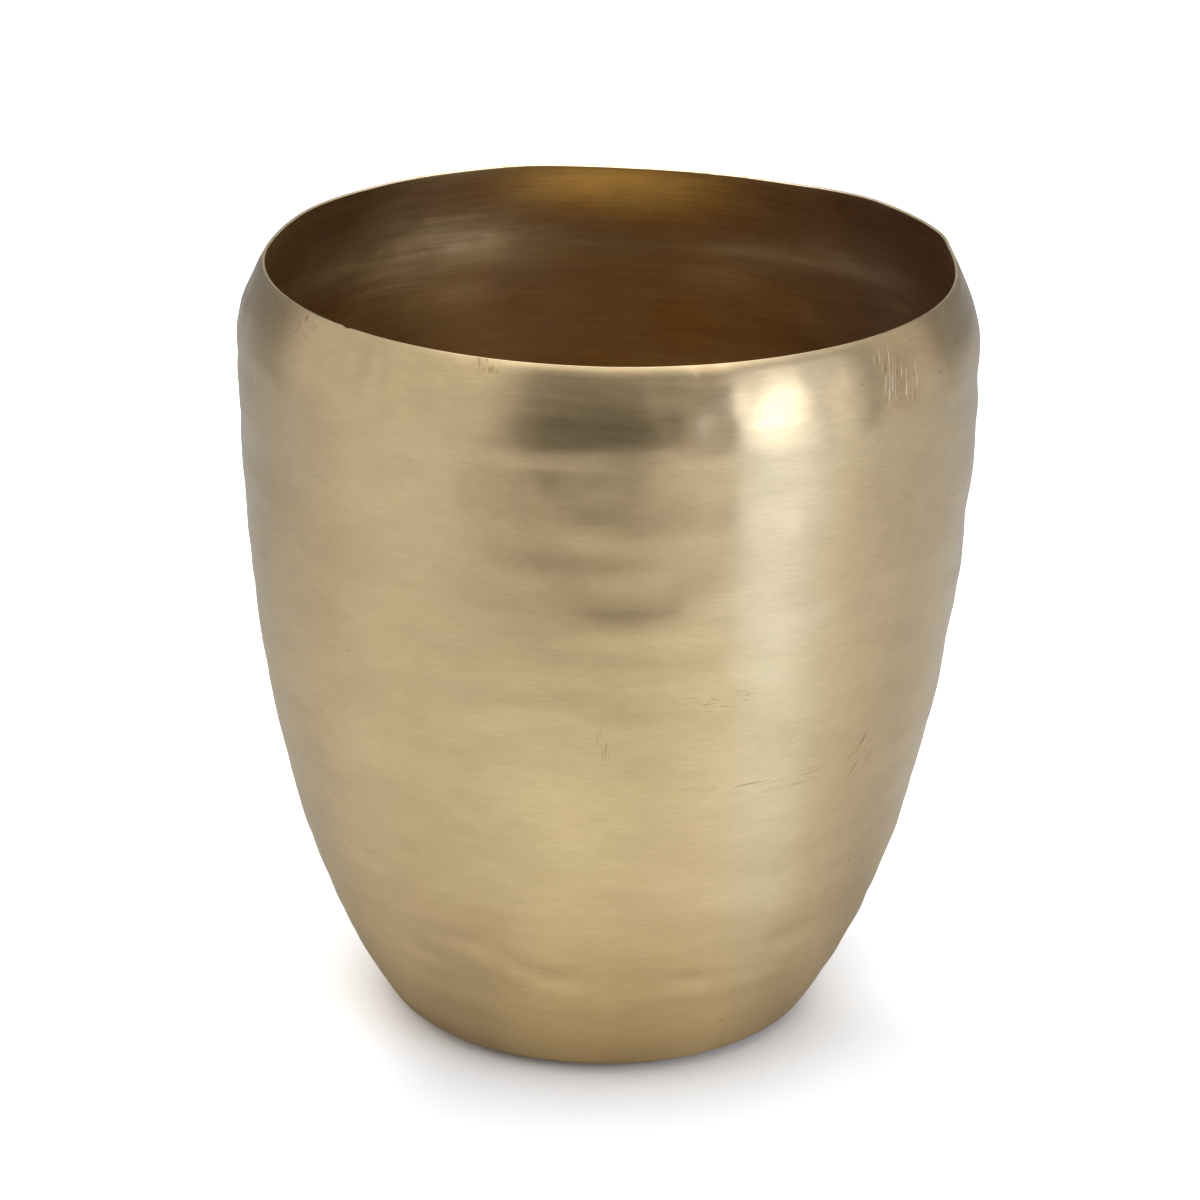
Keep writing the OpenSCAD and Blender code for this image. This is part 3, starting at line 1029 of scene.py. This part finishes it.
class POT_OT_pads(bpy.types.Operator):
    """Cut one felt pad, copy it and stick the copies under the foot"""
    bl_idname = "pot.pads"
    bl_label = "Felt Pads"

    def execute(self, context):
        low, high = (Vector(corner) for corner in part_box(PAD_NODES[0]))
        size = high - low
        outline = pad_outline(size.x / 2, size.z, context.scene.pot_bottom.pad_edge)
        first = spun("felt", outline, 72)
        weigh(first, "nap", lambda co: ramp(co.z, 0.0, 0.3 * MM)
              * ramp(co.xy.length, 3.4 * MM, 4.9 * MM))
        beat(first, 1.6 * MM, 1.6 * MM, 0.16 * MM, (0.07, 0.02, 0.1), "nap")
        first.data.materials.append(bpy.data.materials["pressed_felt"])
        for node in PAD_NODES:
            low, high = (Vector(corner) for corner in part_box(node))
            pick(first)
            bpy.ops.object.duplicate()
            pad = bpy.context.object
            pad.name = node.replace("felt_pad", "soft_pad")
            middle = (low + high) / 2
            edit(pad)
            bpy.ops.mesh.select_all(action="SELECT")
            bpy.ops.transform.rotate(
                value=math.atan2(middle.y, middle.x), orient_axis="Z", center_override=(0, 0, 0))
            bpy.ops.transform.translate(value=(middle.x, middle.y, low.z))
            leave_edit()
            settle(pad, node)
        bpy.data.objects.remove(first)
        return {"FINISHED"}


class POT_OT_studio(bpy.types.Operator):
    """Lay the floor and set up the lights and the camera"""
    bl_idname = "pot.studio"
    bl_label = "Studio"

    # the lights point at the middle of the pot
    aim = Vector((0, 0, 0.1))

    def execute(self, context):
        studio = context.scene.pot_studio
        self.floor()
        self.lights()
        self.room(context.scene, studio)
        self.camera(context.scene, studio)
        context.scene.view_settings.view_transform = "Standard"
        return {"FINISHED"}

    def floor(self):
        bpy.ops.object.select_all(action="DESELECT")
        bpy.ops.mesh.primitive_plane_add(size=12)
        floor = bpy.context.object
        floor.name = "floor"
        floor.data.materials.append(floor_finish())
        self.card("flag_front", Vector((-0.042, -0.42, 0.305)), Vector((0, -1, 0)), (0.284, 0.59),
                  card_finish("flag_cloth", (0.105, 0.090, 0.076)))

    def card(self, name, place, way, size, finish):
        """A card across a line of sight, hidden from the camera and casting no shadow."""
        bpy.ops.object.select_all(action="DESELECT")
        bpy.ops.mesh.primitive_plane_add(size=1, location=place)
        card = bpy.context.object
        card.name = name
        card.scale = (*size, 1)
        card.rotation_euler = (-way).to_track_quat("Z", "Y").to_euler()
        card.visible_camera = False
        card.visible_shadow = False
        card.visible_diffuse = False
        card.data.materials.append(finish)
        return card

    def lights(self):
        self.softbox("key", at=50, elevation=13, distance=0.9, size=(0.52, 0.64),
                     strength=4.3, colour=(0.90, 1.0, 1.22), even=0.40)
        self.softbox("key_halo", at=57, elevation=13, distance=0.95, size=(1.06, 0.98),
                     strength=1.7, colour=(0.95, 1.02, 1.14), even=0.45)
        self.panel("key_skirt", at=33, elevation=12, distance=0.98, size=(0.36, 0.6), power=0.24)
        self.panel("fill_left", at=-74, elevation=20, distance=1.2, size=(2.0, 1.3), power=4.3)
        self.panel("fill_right", at=98, elevation=20, distance=1.2, size=(0.9, 1.3), power=1.6)
        self.panel("top", at=0, elevation=90, distance=1.7, size=(2.0, 2.0), power=32)

    def sight(self, at, elevation):
        """Unit vector from the pot towards a bearing and an elevation, in degrees."""
        return (math.cos(math.radians(elevation)) * outward(at)
                + Vector((0, 0, math.sin(math.radians(elevation)))))

    def softbox(self, name, at, elevation, distance, size, strength, colour, even):
        """A glowing card that fades out at its edges and lights the floor as well."""
        way = self.sight(at, elevation)
        box = self.card(name, self.aim + distance * way, way, size,
                        softbox_finish(name + "_cloth", strength, colour, even))
        box.visible_diffuse = True

    def panel(self, name, at, elevation, distance, size, power):
        """A soft panel at a bearing from the front, facing the pot."""
        way = self.sight(at, elevation)
        bpy.ops.object.light_add(type="AREA", location=self.aim + distance * way)
        lamp = bpy.context.object
        lamp.name = name
        lamp.rotation_euler = (-way).to_track_quat("-Z", "Y").to_euler()
        lamp.data.shape = "RECTANGLE"
        lamp.data.size, lamp.data.size_y = size
        lamp.data.energy = power

    def room(self, scene, studio):
        world = scene.world or bpy.data.worlds.new("room")
        scene.world = world
        world.use_nodes = True
        shade = world.node_tree.nodes["Background"]
        shade.inputs["Color"].default_value = (1, 1, 1, 1)
        bench = Bench(world.node_tree)
        seen = bench.add("ShaderNodeLightPath").outputs["Is Camera Ray"]
        bench.feed(shade.inputs["Strength"], bench.step(seen, 0.0, 1.0, studio.room, 1.0))

    def camera(self, scene, studio):
        back = Vector((0, -math.cos(studio.elevation), math.sin(studio.elevation)))
        aim = Vector((-studio.aim_aside, 0, studio.aim_height))
        bpy.ops.object.camera_add(location=aim + studio.distance * back)
        camera = bpy.context.object
        turn = (-back).to_track_quat("-Z", "Y").to_matrix().to_4x4()
        roll = turn.copy().Rotation(studio.roll, 4, "Z")
        camera.rotation_euler = (turn @ roll).to_euler()
        camera.data.lens = studio.lens
        camera.data.sensor_width = 36
        scene.camera = camera


class POT_PT_panel(bpy.types.Panel):
    """The pot's steps, in order"""
    bl_label = "Beaten Brass Planter"
    bl_space_type = "VIEW_3D"
    bl_region_type = "UI"
    bl_category = "Planter"

    def draw(self, context):
        for step in STEPS:
            self.layout.operator(step.bl_idname)


SETTINGS = {"pot_wall": PotWallSettings, "pot_bottom": PotBottomSettings,
            "pot_finish": PotFinishSettings, "pot_studio": PotStudioSettings}
STEPS = (POT_OT_finishes, POT_OT_wall, POT_OT_bottom, POT_OT_braze, POT_OT_pads,
         POT_OT_studio)


def register():
    for cls in (*SETTINGS.values(), *STEPS, POT_PT_panel):
        bpy.utils.register_class(cls)
    for name, cls in SETTINGS.items():
        setattr(bpy.types.Scene, name, PointerProperty(type=cls))


def unregister():
    for name in SETTINGS:
        delattr(bpy.types.Scene, name)
    for cls in reversed((*SETTINGS.values(), *STEPS, POT_PT_panel)):
        bpy.utils.unregister_class(cls)


def main():
    register()
    bpy.ops.pot.finishes()
    bpy.ops.pot.wall()
    bpy.ops.pot.bottom()
    bpy.ops.pot.braze()
    bpy.ops.pot.pads()
    bpy.ops.pot.studio()


if __name__ == "__main__":
    main()
